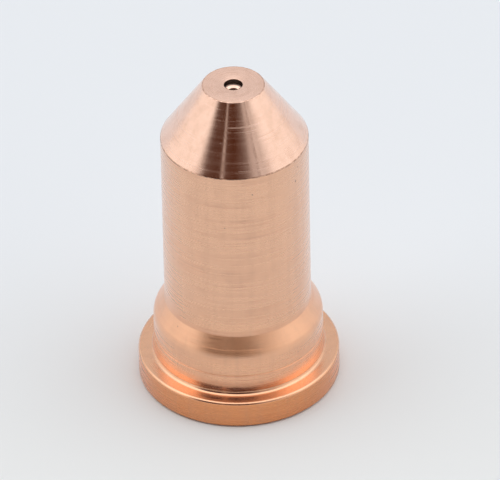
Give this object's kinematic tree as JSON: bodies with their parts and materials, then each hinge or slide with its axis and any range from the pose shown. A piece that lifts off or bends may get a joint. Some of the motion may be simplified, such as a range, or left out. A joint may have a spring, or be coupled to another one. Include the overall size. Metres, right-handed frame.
{
  "type": "plasma torch nozzle",
  "caption": "Long turned copper nozzle for a plasma cutting torch: conical nose with a small orifice, straight body, flared neck and a clamping flange, bored hollow from below.",
  "frame": {"origin": "centre of the flange's underside", "axes": "+Z along the torch's axis, out of the tip"},
  "size_m": [0.02, 0.02, 0.0346],
  "materials": {
    "copper": "fine turned"
  },
  "bodies": {
    "root": {"nozzle": "copper"}
  },
  "joints": []
}
